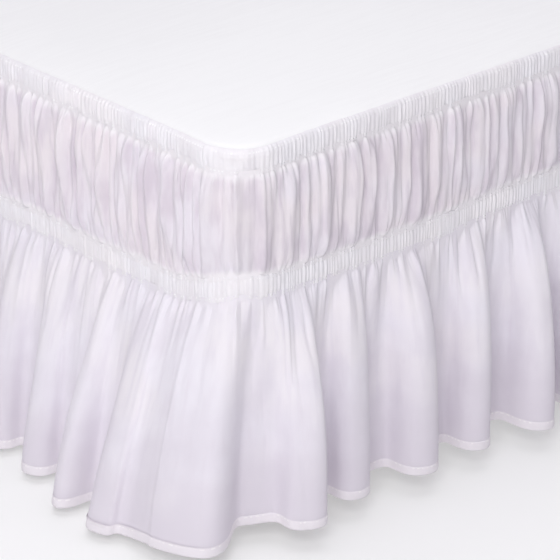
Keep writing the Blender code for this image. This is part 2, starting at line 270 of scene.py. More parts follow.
# Folds that run out away from a band: height, layer, how far away they come in,
# reach with the curves of that, least reach, and power of fading
PANEL_EDGE_FOLDS = (351, (0.0036, 0.0095), 0.019, 0.3)
PANEL_RUN_OUT = (0.0034, PANEL_EDGE_FOLDS, 0.0014, 0.020, ((353, 0.010, 1.2, 0.7),), 0, 1.4)
RUFFLE_EDGE_FOLDS = (431, (0.0036, 0.0095), 0.019, 0.3)
RUFFLE_EDGE_CURVES = ((427, 0.011, 1.25, 1.0), (428, 0.05, 0.0, 0.35))
MIDDLING_FOLDS = (435, (0.008, 0.018), 0.050, 0.5)
BROAD_FOLDS = (441, (0.014, 0.032), 0.080, 0.5)
RUFFLE_RUN_OUTS = (
    (0.0035, RUFFLE_EDGE_FOLDS, 0.0022, 0.022, RUFFLE_EDGE_CURVES, 0.008, 1.6),
    (0.0040, MIDDLING_FOLDS, 0.007, 0.050, ((433, 0.02, 1.2, 1.0),), 0.02, 1.6),
    (0.0076, BROAD_FOLDS, 0.024, 0.100, ((437, 0.04, 1.35, 1.0),), 0.05, 1.8),
)
# The ruffle's start at the band, its narrow creases, and its crumples that grow
# towards the middle and lose some of their height at the hem
RUFFLE_START = 0.010
RUFFLE_PINCHES = (-0.0030, 0.002, (461, (0.010, 0.030), 0.040, 0.0016))
RUFFLE_CRUMPLES = (451, (0.010, 0.034), 0.070, 0.5)
RUFFLE_CRUMPLE_HEIGHT = 0.0036
RUFFLE_CRUMPLE_START = 0.04
RUFFLE_CRUMPLE_LOSS = 0.45

# Cover of the base, from the middle of its underside to the middle of its top:
# distance in from the outline and height above the base's lower or upper face,
# in millimetres. The seams run round 22 mm below the top and above the underside.
BASE_UNDER = (
    (60, 0), (20, 0), (8, 0.3), (3, 2), (0.9, 6), (0.6, 12), (0.6, 20), (1.3, 22), (0.6, 24),
)
BASE_OVER = (
    (0.6, -24), (1.3, -22), (0.6, -20), (0.6, -12), (0.7, -7), (2.0, -3.2), (4.4, -1.0), (8, 0.2),
    (14, 1.1), (24, 1.9), (40, 2.7), (60, 3.2), (90, 3.6), (130, 3.8), (180, 4.0), (240, 4.0),
    (310, 4.0), (380, 4.0), (450, 4.0),
)
BASE_COLUMNS = 600
# Sides of the cover, nearer than this in millimetres to the outline, are rippled
COVER_SIDE = 1
UNDER_RIPPLE = (611, 0.045, 0.0002, 0.0002)
OVER_RIPPLE = (613, 0.045, 0.0002, 0.0002)
# Its top is uneven, most at this distance in from the outline
COVER_DIMPLE = 0.0008
DIMPLE_INSET = 0.11
DIMPLE_LEAST = 0.001
DIMPLE_LENGTH = 0.22
DIMPLE_SEED = 617
# Rings further in than this share of the corner radius are scaled ones
INSET_SHARE = 0.8

# Brushed microfibre: its warm and cool tones, shade of its darker clouds, strength
# of its fine upright streaks, falls as colours with the distances down the cloth over
# which each comes in, colour past the hem line, and stitch rows with their colour
CLOTHS = {
    "band_fabric": dict(
        name="band_cloth", sheen=0.25, streaky=0.4, shade=(0.83, 0.80, 0.835),
        tones=((0.890, 0.860, 0.880), (0.875, 0.860, 0.895)),
        stitches=(0.0032, 0.0222), thread=(0.98, 0.97, 0.98),
    ),
    # The panel's tones and shade are darker than the bands' and the ruffle's: painted shade of its
    # folds
    "panel_fabric": dict(
        name="panel_cloth", sheen=0.12, streaky=0.9, shade=(0.690, 0.628, 0.692),
        tones=((0.825, 0.770, 0.800), (0.803, 0.766, 0.820)),
        falls=(((0.865, 0.835, 0.860), 0.009, 0.001), ((0.865, 0.835, 0.860), 0.106, 0.114)),
    ),
    "ruffle_fabric": dict(
        name="ruffle_cloth", sheen=0.12, streaky=0.8, shade=(0.792, 0.752, 0.815),
        tones=((0.865, 0.828, 0.862), (0.850, 0.822, 0.882)),
        # The ruffle's fall, darker towards the hem, is painted shade of its lower part
        falls=(((0.735, 0.690, 0.756), 0.05, 0.25),), hem=(0.830, 0.788, 0.828),
        stitches=(HEM_LINE + 0.0014,), thread=(0.92, 0.89, 0.905),
    ),
}
HEM_BLUR = 0.0005
THREAD_PITCH = 0.0009
STITCH_PITCH = 0.0036
STITCH_DEPTH = 3.0
COVER_TONES = ((0.965, 0.965, 0.965), (0.935, 0.933, 0.935))
COVER_PITCH = 0.0014
WOOD_LIGHT = (0.52, 0.34, 0.19)
WOOD_DARK = (0.34, 0.20, 0.10)

# Stage
FLOOR_REACH = 30
FLOOR_TONES = ((0.615, 0.615, 0.615), (0.605, 0.605, 0.607))
FLOOR_GLOW = 0.34
SKY_COLOUR = (1.00, 0.95, 1.12, 1)
SKY_STRENGTH = 0.21
# Name, place, spot that it points at, size in metres and power in watts
LIGHTS = (
    ("top_soft", (0.4, -1.0, 3.2), (0.4, -0.9, 0.4), 2.4, 34),
    ("key", (2.22, -2.78, 2.3), (0.45, -0.95, 0.25), 1.3, 51),
    ("back_soft", (-1.6, 3.4, 2.6), (0.0, 0.4, 0.3), 2.6, 60),
    ("left_fill", (0.7, -4.2, 1.5), (0.0, -0.95, 0.25), 2.4, 15),
)
CAMERA_PLACE = (2.4715, -2.6669, 1.5146)
CAMERA_AIM = (0.4458, -0.8476, 0.2551)
CAMERA_LENS = 190.63
SENSOR_WIDTH = 36


def outline(at):
    """Points and outward directions of the base outline at places round it."""
    run = np.mod(at + CORNER_ARC / 2, LAP)
    x = y = angle = np.zeros_like(run)
    start = 0.0
    corners = ((1, -1, -90, SIDE_Y), (1, 1, 0, SIDE_X), (-1, 1, 90, SIDE_Y), (-1, -1, 180, SIDE_X))
    for right, back, turn, side in corners:
        centre_x = right * SIDE_X / 2
        centre_y = back * SIDE_Y / 2
        along = run - start
        on_arc = (along >= 0) & (along < CORNER_ARC)
        arc_angle = math.radians(turn) + along / CORNER_RADIUS
        angle = np.where(on_arc, arc_angle, angle)
        x = np.where(on_arc, centre_x + CORNER_RADIUS * np.cos(arc_angle), x)
        y = np.where(on_arc, centre_y + CORNER_RADIUS * np.sin(arc_angle), y)
        along = along - CORNER_ARC
        on_side = (along >= 0) & (along < side)
        side_angle = math.radians(turn + 90)
        angle = np.where(on_side, side_angle, angle)
        start_x = centre_x + CORNER_RADIUS * math.cos(side_angle)
        start_y = centre_y + CORNER_RADIUS * math.sin(side_angle)
        x = np.where(on_side, start_x - along * math.sin(side_angle), x)
        y = np.where(on_side, start_y + along * math.cos(side_angle), y)
        start += CORNER_ARC + side
    return x, y, np.cos(angle), np.sin(angle)


def place(at, out, height):
    """World points from places round the base, outward distances and heights."""
    x, y, out_x, out_y = outline(at)
    return np.stack([x + out * out_x, y + out * out_y, height + 0 * x], axis=-1)


def by_side(shares, at):
    """Share on the long sides, with what the foot and head sides add to it."""
    return shares[0] + shares[1] * np.abs(outline(at)[3])


def from_corner(at):
    """Distance to the middle of the nearest corner of the base."""
    corners = (0, SIDE_Y + CORNER_ARC, LAP / 2, LAP / 2 + SIDE_Y + CORNER_ARC)
    ways = [np.abs(np.mod(at - corner + LAP / 2, LAP) - LAP / 2) for corner in corners]
    return np.min(ways, axis=0)


def near_corner(at, fading=CORNER_FADE):
    """1 at the corners of the base, down to nothing a little beside them."""
    return fade(from_corner(at), *fading)


def sag(at, column):
    table = np.array(SAG_ROWS, float) / 1000
    return np.interp(at, table[:, 0], table[:, column], period=LAP)


def heading_upper(at):
    return SKIRT_TOP - CORNER_DIP * near_corner(at, CORNER_DIP_FADE)


def middle_upper(at):
    return SKIRT_TOP - BAND_HEIGHT - PANEL_HEIGHT - sag(at, 1)


def hem_height(at):
    return SKIRT_TOP - 2 * BAND_HEIGHT - PANEL_HEIGHT - RUFFLE_HEIGHT - sag(at, 2)


def soft_step(share):
    return share * share * (3 - 2 * share)


def smooth_knots(values, where):
    """Smooth periodic curve through values, read where is a share of the lap."""
    count = len(values)
    spot = np.mod(where, 1.0) * count
    index = np.floor(spot).astype(int)
    part = spot - index
    p0 = values[(index - 1) % count]
    p1 = values[index % count]
    p2 = values[(index + 1) % count]
    p3 = values[(index + 2) % count]
    return p1 + 0.5 * part * (
        p2 - p0 + part * (2 * p0 - 5 * p1 + 4 * p2 - p3 + part * (3 * (p1 - p2) + p3 - p0))
    )


def ripple(seed, length, at):
    """Smooth random curve from -1 to 1 round the bed, about length per swing."""
    count = max(4, round(LAP / length))
    values = np.random.default_rng(seed).uniform(-1, 1, count)
    return smooth_knots(values, at / LAP)


def swinging(curve, at, band_seed=0):
    """Smooth random curve round the bed that swings about a mean."""
    seed, length, mean, swing = curve
    return mean + swing * ripple(band_seed + seed, length, at)


def patches(seed, length, depth, at, down):
    """Smooth random field: a row for each distance down, a column for each place."""
    spot = down / depth
    index = np.floor(spot).astype(int)
    part = soft_step((spot - index)[:, None])
    levels = [ripple(seed + PATCH_SEEDS * row, length, at) for row in range(index.max() + 2)]
    levels = np.array(levels)
    return levels[index] + (levels[index + 1] - levels[index]) * part


def panel_creases():
    """Creases of the panel in turn: place, puff that follows, and tilt of its crest."""
    chance = random.Random(PANEL_SEED)
    tilts = random.Random(PANEL_SEED + 1)
    creases = [(at / 1000, puff / 1000, tilt) for at, puff, tilt in CREASE_ROWS]
    spot = creases[-1][0] + sum(PANEL_FOLD_WIDTHS) / 2
    end = creases[0][0] + LAP
    while spot < end - PANEL_FOLD_WIDTHS[0]:
        creases.append((spot, chance.uniform(*PANEL_PUFFS), tilts.uniform(*PANEL_TILTS)))
        spot += chance.uniform(*PANEL_FOLD_WIDTHS)
    return creases


def ruffle_turns():
    """Crests and valleys of the hem in turn: place, outward reach, opening, lean."""
    chance = random.Random(RUFFLE_SEED)
    turns = []
    for crest, crest_out, opening, valley, valley_out, crest_lean, valley_lean in FOLD_ROWS:
        turns.append((crest / 1000, crest_out / 1000, opening, crest_lean / 1000))
        turns.append((valley / 1000, valley_out / 1000, opening, valley_lean / 1000))
    start = turns[-1][0]
    end = turns[0][0] + LAP
    mean = sum(RUFFLE_PITCHES) / 2
    count = round((end - start - mean / 2) / mean)
    widths = [chance.uniform(*RUFFLE_PITCHES) for _ in range(count)]
    scale = (end - start) / (sum(widths) + mean / 2)
    spot = start
    for width in widths:
        width *= scale
        crest = spot + width * chance.uniform(*CREST_SHARES)
        flare = CORNER_FLARE * max(0, 1 - from_corner(crest) / CORNER_FLARE_REACH)
        crest_out = chance.uniform(*RUFFLE_CRESTS) + flare
        opening = chance.uniform(*RUFFLE_OPENINGS)
        turns.append((crest, crest_out, opening, 0.0))
        turns.append((spot + width, chance.uniform(*RUFFLE_VALLEYS), opening, 0.0))
        spot += width
    turns.append((turns[0][0] + LAP,) + turns[0][1:])
    return turns


def hem_columns(at):
    """Where each column of the ruffle ends at the hem: place, out, opening."""
    turns = ruffle_turns()
    first = turns[0][0] + turns[0][3]
    spot = np.mod(at - first, LAP) + first
    hem_at, hem_out, opening = np.zeros((3, len(at)))
    steps = np.linspace(0, 1, FLANK_POINTS)
    even_rise = (1 - np.cos(np.pi * steps)) / 2
    to_crest = even_rise ** CREST_SHARPNESS
    from_crest = 1 - (1 - even_rise) ** CREST_SHARPNESS
    bunched = steps + FLANK_STEEPNESS * np.sin(2 * np.pi * steps) / (2 * np.pi)
    for low, high in zip(turns, turns[1:]):
        low_top = low[0] + low[3]
        high_top = high[0] + high[3]
        own = (spot >= low_top) & (spot < high_top)
        share = (spot[own] - low_top) / (high_top - low_top)
        curve_at = low[0] + (high[0] - low[0]) * bunched
        rise = to_crest if high[1] > low[1] else from_crest
        curve_out = low[1] + (high[1] - low[1]) * rise
        line = place(curve_at, curve_out, 0.0)
        run = np.append(0, np.cumsum(np.linalg.norm(np.diff(line, axis=0), axis=1)))
        step = np.interp(share, run / run[-1], steps)
        hem_at[own] = np.interp(step, steps, curve_at)
        hem_out[own] = np.interp(step, steps, curve_out)
        opening[own] = low[2] + (high[2] - low[2]) * np.interp(step, steps, rise)
    return hem_at + (at - spot), hem_out, opening


def drawn_columns(times):
    """Places of the drawn columns, with times of them for each coarse one."""
    along = np.linspace(0, LAP, DENSITY_POINTS)
    middle = (DENSE_FROM + DENSE_TO) / 2
    away = np.abs(np.mod(along - middle + LAP / 2, LAP) - LAP / 2)
    reach = (DENSE_TO - DENSE_FROM) / 2 + DENSE_EDGE / 2
    edge = np.clip((reach - away) / DENSE_EDGE, 0, 1)
    weight = 1 + (DENSITY - 1) * soft_step(edge)
    run = np.append(0, np.cumsum((weight[1:] + weight[:-1]) / 2))
    count = DRAWN_COLUMNS * times
    return np.interp(np.arange(count) / count, run / run[-1], along)


def even_creases(seed, widths):
    """Places of random creases round the bed, from widths[0] to widths[1] apart."""
    chance = np.random.default_rng(seed)
    count = 2 * round(LAP / (widths[0] + widths[1]))
    steps = chance.uniform(*widths, count)
    return np.cumsum(steps) * LAP / steps.sum()


def between(levels, spot):
    """Row of levels read at a spot between two of them, with a soft turn at each."""
    level = int(spot)
    return levels[level] + (levels[level + 1] - levels[level]) * soft_step(spot - level)


def wandering(seed, spots, at_down, depth, drift):
    """Places of the creases at spots, at distances down the cloth where they wander."""
    chance = np.random.default_rng(seed + WANDER_SEEDS)
    steps = np.mod(np.roll(spots, -1) - spots, LAP)
    room = np.minimum(steps, np.roll(steps, 1))
    levels = int(np.max(at_down) / depth) + 2
    shift = chance.uniform(-drift, drift, (levels, len(spots))) * room
    return [np.sort(spots + between(shift, distance / depth)) for distance in at_down]


def facets(spots, at, down, seed, depth, keep, drift, turns=True):
    """Flat facets between upright creases, from -1 to 1, a row for each distance down.

    Creases stand at spots, low and high in turn where turns is true. Their heights
    change every depth down the cloth, as much as keep leaves free.
    """
    chance = np.random.default_rng(seed + FACET_SEEDS)
    count = len(spots)
    levels = int(np.max(down) / depth) + 2
    if turns:
        sign = np.where(np.arange(count) % 2, 1.0, -1.0)
        common = chance.uniform(*COMMON_HEIGHTS, count)
        own = chance.uniform(*TURNING_HEIGHTS, (levels, count))
    else:
        sign = 1.0
        common = chance.uniform(-1, 1, count)
        own = chance.uniform(-1, 1, (levels, count))
    heights = sign * (keep * common + (1 - keep) * own)
    down = np.maximum(down, 0)
    return np.array([
        np.interp(at, line, between(heights, distance / depth), period=LAP)
        for distance, line in zip(down, wandering(seed, spots, down, depth, drift))
    ])


def fine_folds(layer, at, down, band_seed=0, turns=True):
    """Narrow folds of a layer, from -1 to 1."""
    own_seed, widths, depth, keep = layer
    seed = band_seed + own_seed
    spots = even_creases(seed, widths)
    return facets(spots, at, down, seed, depth, keep, NARROW_DRIFT, turns)


def pinches(layer, at, down):
    """Narrow creases, 1 where they are deepest, that come and go down the cloth."""
    seed, widths, depth, width = layer
    chance = np.random.default_rng(seed + PINCH_SEEDS)
    spots = even_creases(seed, widths)
    levels = int(np.max(down) / depth) + 2
    strengths = np.clip(chance.uniform(*PINCH_STRENGTHS, (levels, len(spots))), 0, 1)
    down = np.maximum(down, 0)
    rows = []
    for distance, line in zip(down, wandering(seed, spots, down, depth, PINCH_DRIFT)):
        strength = between(strengths, distance / depth)
        ends = np.concatenate([[line[-1] - LAP], line, [line[0] + LAP]])
        strength = np.concatenate([[strength[-1]], strength, [strength[0]]])
        spot = np.mod(at - line[0], LAP) + line[0]
        high = np.searchsorted(ends, spot, side="right")
        high = np.minimum(high, len(ends) - 1)
        left = strength[high - 1] * np.exp(-(spot - ends[high - 1]) / width)
        right = strength[high] * np.exp(-(ends[high] - spot) / width)
        rows.append(np.maximum(left, right))
    return np.array(rows)


def fade(down, reach, power):
    """Falls from 1 at the start to nothing past reach."""
    return np.exp(-((down / reach) ** power))


def grown(down, reach):
    """Rises from nothing at the start to 1 past reach."""
    return 1 - np.exp(-down / reach)


def shirring(band_seed, at, down):
    """Uneven fine pleats, from about -1 to 1, at distances down from a start."""
    pleats = fine_folds(SHIRR_PLEATS, at, down, band_seed)
    broad = fine_folds(SHIRR_BROAD, at, down, band_seed, turns=False)
    return pleats * swinging(SHIRR_STRENGTH, at, band_seed) + BROAD_SHARE * broad


def pucker(band_seed, at, away):
    """Depth of a band's shirring in the cloth sewn to it, away from the band."""
    uneven = swinging(PUCKER_SHORT, at, band_seed) * swinging(PUCKER_LONG, at, band_seed)
    reach = PUCKER_REACH + PUCKER_SWING * uneven
    return PUCKER_HEIGHT * fade(away, np.maximum(reach, PUCKER_LEAST), PUCKER_POWER)


def run_out_folds(kind, at, down, away):
    """Folds that run out away from a band, and the share that is left of them there."""
    height, layer, start, reach, curves, least, power = kind
    reach = reach * sum(swinging(curve, at) for curve in curves)
    left = fade(away, np.maximum(reach, least), power)
    return height * fine_folds(layer, at, down) * grown(away, start) * left, left


def lively(at, corner_loss):
    """How lively the panel's folds are: more on the short sides, less at the corners."""
    return by_side(LIVELY, at) * (1 - corner_loss * near_corner(at))


def main_folds(at, down):
    """Folds of the solid panel, in flat facets between its creases and crests."""
    spots, puffs, tilts = np.array(panel_creases()).T
    crests = spots + tilts * np.mod(np.roll(spots, -1) - spots, LAP)
    turns = np.stack([spots, crests], axis=1).ravel()
    puff = np.interp(at, crests, puffs, period=LAP)
    return lively(at, MAIN_CORNER_LOSS) * puff * facets(turns, at, down, **MAIN_FACETS)


def middling_folds(at, down, fall, rise):
    """Folds that hang from the heading and folds that stand on the middle band."""
    low = (fall / PANEL_HEIGHT - swinging(MEETING, at)) / MEETING_DEPTH
    low = soft_step(np.clip(low + 0.5, 0, 1))
    above = fine_folds(MIDDLING_ABOVE, at, down)
    below = fine_folds(MIDDLING_BELOW, at, down)
    calm = CALM[0] + CALM[1] * patches(*CALM_PATCHES, at, np.maximum(down, 0))
    start = np.where(fall < rise, *[swinging(curve, at) for curve in STARTS])
    height = lively(at, MIDDLING_CORNER_LOSS) * calm * MIDDLING_HEIGHT
    return height * (above * (1 - low) + below * low) * grown(np.minimum(fall, rise), start)


def crisp_folds(at, down, inner):
    """Small folds of the panel, and the narrow creases and ridges that come and go."""
    small = fine_folds(SMALL_FOLDS, at, down) * grown(inner, SMALL_START)
    edge_height = SMALL_EDGE_HEIGHT * fade(inner, *SMALL_EDGE_FADE)
    out = small * (SMALL_HEIGHT + edge_height)
    out = out + FINEST_HEIGHT * fine_folds(FINEST_FOLDS, at, down)
    for height, start, layer in PANEL_PINCHES:
        out = out + height * pinches(layer, at, down) * grown(inner, start)
    return lively(at, CRISP_CORNER_LOSS) * by_side(CRISP, at) * out


def panel_rows(at, down):
    """Points of the gathered cloth between the bands, at places and distances down."""
    fall = np.maximum(down[:, None], 0)
    rise = np.maximum(PANEL_HEIGHT - down[:, None], 0)
    inner = np.minimum(fall, rise)
    out = BAND_OUT + BELLY * grown(fall, BELLY_FALL) * grown(rise, BELLY_RISE)
    out = out + by_side(MAIN_SHARE, at) * main_folds(at, down) * grown(inner, MAIN_START)
    out = out + middling_folds(at, down, fall, rise) + crisp_folds(at, down, inner)
    out = out + run_out_folds(PANEL_RUN_OUT, at, down, inner)[0]
    heading_down = BAND_START + BAND_HEIGHT + down
    middle_down = np.maximum(BAND_START - PANEL_HEIGHT + down, 0)
    out = out + shirring(HEADING_SEED, at, heading_down) * pucker(HEADING_SEED, at, fall)
    out = out + shirring(MIDDLE_SEED, at, middle_down) * pucker(MIDDLE_SEED, at, rise)
    top = (heading_upper(at) - BAND_HEIGHT)[None]
    foot = middle_upper(at)[None]
    height = top + (foot - top) * down[:, None] / PANEL_HEIGHT
    return place(at[None] + 0 * fall, np.maximum(out, LEAST_OUT), height)


def ruffle_rows(at, down):
    """Points of the lower tier, at places along the band and distances down."""
    fall = np.maximum(down[:, None], 0)
    share = np.minimum(fall / RUFFLE_HEIGHT, 1)
    hem_at, hem_out, opening = hem_columns(at)
    spread = 1 - (1 - share) ** opening[None]
    place_at = at[None] + (hem_at - at)[None] * spread
    out = CLOTH_OUT + (hem_out[None] - CLOTH_OUT) * spread
    out = BAND_OUT + (out - BAND_OUT) * grown(fall, RUFFLE_START)
    for kind in RUFFLE_RUN_OUTS:
        folds, left = run_out_folds(kind, at, down, fall)
        out = out + folds
    depth, start, layer = RUFFLE_PINCHES
    out = out + depth * pinches(layer, at, down) * grown(fall, start) * left
    crumple = RUFFLE_CRUMPLE_HEIGHT * fine_folds(RUFFLE_CRUMPLES, at, down, turns=False)
    crumple = crumple * grown(fall, RUFFLE_CRUMPLE_START)
    out = out + crumple * (1 - RUFFLE_CRUMPLE_LOSS * share)
    waves = shirring(MIDDLE_SEED, at, BAND_START + BAND_HEIGHT + down)
    out = out + waves * pucker(MIDDLE_SEED, at, fall)
    out = out + np.interp(fall, HEM_DOWN, HEM_OUT)
    out = np.where(fall > RUFFLE_HEIGHT, out, np.maximum(out, LEAST_OUT))
    top = (middle_upper(at) - BAND_HEIGHT)[None]
    height = top + (hem_height(place_at) - top) * share + np.maximum(-down[:, None], 0)
    return place(place_at, out, height + np.interp(fall, HEM_DOWN, HEM_RISE))


def add_object(name, data):
    thing = bpy.data.objects.new(name, data)
    bpy.context.scene.collection.objects.link(thing)
    return thing


def mesh_data(name, points, faces, cloth, normals=None):
    """Mesh from points and faces, with the place on the flat cloth as UV."""
    mesh = bpy.data.meshes.new(name)
    loops = np.concatenate([part.ravel() for part in faces]).astype(np.int32)
    sizes = np.concatenate([np.full(len(part), part.shape[1]) for part in faces])
    starts = np.append(0, np.cumsum(sizes)[:-1]).astype(np.int32)
    mesh.vertices.add(len(points))
    mesh.vertices.foreach_set("co", np.asarray(points, np.float32).ravel())
    mesh.loops.add(len(loops))
    mesh.loops.foreach_set("vertex_index", loops)
    mesh.polygons.add(len(sizes))
    mesh.polygons.foreach_set("loop_start", starts)
    mesh.polygons.foreach_set("use_smooth", np.ones(len(sizes), bool))
    mesh.update(calc_edges=True)
    layer = mesh.uv_layers.new(name="cloth")
    layer.data.foreach_set("uv", np.asarray(cloth, np.float32)[loops].ravel())
    if normals is not None:
        mesh.normals_split_custom_set_from_vertices(normals)
    return mesh


def add_strips(mesh, faces, cloth, count):
    """Second UV layer, with the cloth cut across into strips that lie side by side."""
    starts = [np.repeat(cloth[part[:, 0], 0], part.shape[1]) for part in faces]
    start = np.concatenate(starts)
    loops = np.concatenate([part.ravel() for part in faces])
    length = cloth[:, 0].max() / count
    strip = np.minimum(np.floor(start / length), count - 1)
    low = cloth[:, 1].min()
    deep = cloth[:, 1].max() - low
    across = (cloth[loops, 0] - strip * length) / length
    down = (cloth[loops, 1] - low) / deep
    room = 1 / count - STRIP_GAP
    spots = np.stack([
        STRIP_GAP + (1 - 2 * STRIP_GAP) * across,
        strip / count + STRIP_GAP / 2 + room * (1 - down),
    ], axis=-1)
    layer = mesh.uv_layers.new(name="OFBake")
    layer.data.foreach_set("uv", spots.astype(np.float32).ravel())


def edges_of(row, step):
    """Points that each face takes from a row, one array for each of its corners there."""
    start, count = row
    times = count // len(step)
    return [start + (step * times + corner) % count for corner in range(times + 1)]


class Weaver:
    """Joins rows of points that run round the bed into one sheet of faces."""

    def __init__(self):
        self.points = []
        self.cloth = []
        self.faces = []
        self.sides = []
        self.size = 0
        self.last = None

    def row(self, points, at, down):
        """Add a row of points at these places, with their distance down the cloth."""
        own = (self.size, len(points))
        self.size += len(points)
        self.points.append(points)
        self.cloth.append(np.stack([at, at * 0 + down], axis=-1))
        if self.last:
            self.join(self.last, own)
        self.last = own

    def join(self, upper, lower):
        """Faces between two rows, one for each column of the coarser row."""
        step = np.arange(min(upper[1], lower[1]))
        above = edges_of(upper, step)
        below = edges_of(lower, step)
        if upper[1] == lower[1]:
            corners = above[:1] + below + above[1:]
        else:
            corners = below + above[::-1]
        self.faces.append(np.stack(corners, axis=1))
        self.sides.append(step / len(step))

    def make(self, name, strips):
        """Two objects: the half of the columns round the foot corner, and the rest."""
        points = np.concatenate(self.points)
        cloth = np.concatenate(self.cloth)
        columns = self.cloth[0][:, 0]
        whole = mesh_data("whole", points, self.faces, cloth)
        normals = np.zeros(3 * len(points), np.float32)
        whole.vertex_normals.foreach_get("vector", normals)
        normals = normals.reshape(-1, 3)
        bpy.data.meshes.remove(whole)
        things = []
        for half, low in (("_near", NEAR_START), ("_far", FAR_START)):
            parts = []
            for quads, side in zip(self.faces, self.sides):
                parts.append(quads[np.mod(side + TINY_SHARE - low, 1.0) < 0.5])
            used = np.unique(np.concatenate([part.ravel() for part in parts]))
            place_of = np.zeros(len(points), int)
            place_of[used] = np.arange(len(used))
            parts = [place_of[part] for part in parts]
            flat = cloth[used].copy()
            start = columns[round(low * len(columns))]
            flat[:, 0] = np.mod(flat[:, 0] - start + TINY_LENGTH, LAP)
            mesh = mesh_data(name + half, points[used], parts, flat, normals[used])
            add_strips(mesh, parts, flat, strips)
            mesh.uv_layers.active = mesh.uv_layers["cloth"]
            things.append(add_object(name + half, mesh))
        return things


def build_band(name, upper_edge, band_seed, above, below):
    """Band shirred on elastic, as a thin sheet.

    above and below are the short folds of the cloth sewn to its edges, which run a
    little way into it. Where above is None no cloth is sewn on: the upper edge then
    leans in over the base, and the band is crumpled at the corners.
    """
    at = drawn_columns(FINE)
    weaver = Weaver()
    top = upper_edge(at)
    corner = near_corner(at)
    folds = fine_folds(RAGGED_LAYER, at, np.zeros(1), band_seed, turns=False)[0]
    swell = swinging(BAND_SWELL, at, band_seed)
    free = above is None
    pleats = HEADING_PLEATS if free else MIDDLE_PLEATS
    for down, out, depth in BAND_PROFILE:
        down = (down if free else max(down, 0.0)) / 1000
        wave = shirring(band_seed, at, [BAND_START + down])[0]
        wave = wave * (pleats[0] + pleats[1] * corner)
        if free:
            crumple = fine_folds(CORNER_CRUMPLES, at, [down], band_seed, turns=False)[0]
            wave = wave + CRUMPLE_HEIGHT * corner * crumple
        reach = (out * swell + depth * wave) / 1000
        side = (down - BAND_HEIGHT / 2) / (BAND_HEIGHT / 2)
        ragged = RAGGED_EDGE * wave + RAGGED_FOLDS * np.clip(folds, *RAGGED_RANGE)
        edge = -ragged * abs(side) ** RAGGED_POWER * np.sign(side)
        if not free:
            reach = reach + EDGE_RUN * above * fade(down, *EDGE_RUN_FADE)
        elif side < 0:
            edge = edge * TOP_RAGGED
        run = fade(BAND_HEIGHT - down, *EDGE_RUN_FADE)
        reach = np.maximum(reach + EDGE_RUN * below * run, LEAST_BAND_OUT)
        if free:
            reach = reach - TOP_LEAN * fade(max(down, 0), *TOP_LEAN_FADE)
        weaver.row(place(at, reach, top - down + edge), at, down)
    return weaver.make(name, BAND_STRIPS)


def build_gathered(name, rows_of, downs, band_downs, strips):
    """Gathered cloth, with more columns in the rows near the bands."""
    weaver = Weaver()
    coarse = drawn_columns(1)
    fine = drawn_columns(FINE)
    away = np.abs(downs[:, None] - np.array(band_downs)[None]).min(axis=1)
    rows = zip(downs, away, rows_of(coarse, downs), rows_of(fine, downs))
    for down, distance, coarse_row, fine_row in rows:
        if distance <= FINE_REACH:
            weaver.row(fine_row, fine, down)
        else:
            weaver.row(coarse_row, coarse, down)
    return weaver.make(name, strips)


def inset_place(at, inset, height):
    """Points at a distance in from the outline of the base, also past its corner radius."""
    near = min(inset, INSET_SHARE * CORNER_RADIUS)
    points = place(at, -near + 0 * at, height)
    for axis, half in ((0, BASE_WIDTH / 2), (1, BASE_LENGTH / 2)):
        points[:, axis] *= (half - inset) / (half - near)
    return points


def cover_rings(at):
    """Rings of the cover: distance in, height, and how far its side is pulled in."""
    rings = []
    under = (BASE_UNDER, LEG_HEIGHT + GAP, UNDER_RIPPLE)
    over = (BASE_OVER, SKIRT_TOP, OVER_RIPPLE)
    for profile, level, curve in (under, over):
        pull = swinging(curve, at)
        for inset, rise in profile:
            own_pull = pull if inset < COVER_SIDE else 0 * at
            rings.append((inset / 1000, level + rise / 1000, own_pull))
    return rings


def build_base():
    """Padded base in a fitted cover: soft edges, two seams and a slightly full top."""
    at = np.arange(BASE_COLUMNS) / BASE_COLUMNS * LAP
    out_x, out_y = outline(at)[2:]
    body = bmesh.new()
    lines = []
    for inset, height, pull in cover_rings(at):
        ring = inset_place(at, inset, height + 0 * at)
        ring[:, 0] -= pull * out_x
        ring[:, 1] -= pull * out_y
        if height > SKIRT_TOP:
            away = math.log(max(inset, DIMPLE_LEAST) / DIMPLE_INSET)
            uneven = ripple(DIMPLE_SEED + round(1000 * inset), DIMPLE_LENGTH, at)
            ring[:, 2] += COVER_DIMPLE * math.exp(-(away ** 2)) * uneven
        lines.append([body.verts.new(spot) for spot in ring])
    for low, high in zip(lines, lines[1:]):
        for index in range(BASE_COLUMNS):
            after = (index + 1) % BASE_COLUMNS
            body.faces.new((low[index], low[after], high[after], high[index]))
    body.faces.new(lines[0][::-1])
    body.faces.new(lines[-1])
    for face in body.faces:
        face.smooth = True
    mesh = bpy.data.meshes.new("padded_base")
    body.to_mesh(mesh)
    body.free()
    return add_object("padded_base", mesh)


def add_node(tree, kind, inputs=(), **settings):
    """New shader node with its settings and its inputs, linked or plain."""
    made = tree.nodes.new("ShaderNode" + kind)
    for name, value in settings.items():
        setattr(made, name, value)
    for key, value in dict(inputs).items():
        if isinstance(value, bpy.types.NodeSocket):
            tree.links.new(value, made.inputs[key])
        else:
            made.inputs[key].default_value = value
    return made


def maths(tree, operation, *values):
    return add_node(tree, "Math", dict(enumerate(values)), operation=operation).outputs[0]


def noise(tree, vector, scale=1.0, detail=2.0):
    made = add_node(tree, "TexNoise", {"Vector": vector, "Scale": scale, "Detail": detail})
    return made.outputs["Fac"]


def stretched(tree, places, stretch):
    return add_node(tree, "Mapping", {"Vector": places, "Scale": stretch}).outputs["Vector"]


def solid_places(tree, stretch=(1, 1, 1)):
    """Places on a solid, in metres, stretched."""
    return stretched(tree, add_node(tree, "TexCoord").outputs["Object"], stretch)


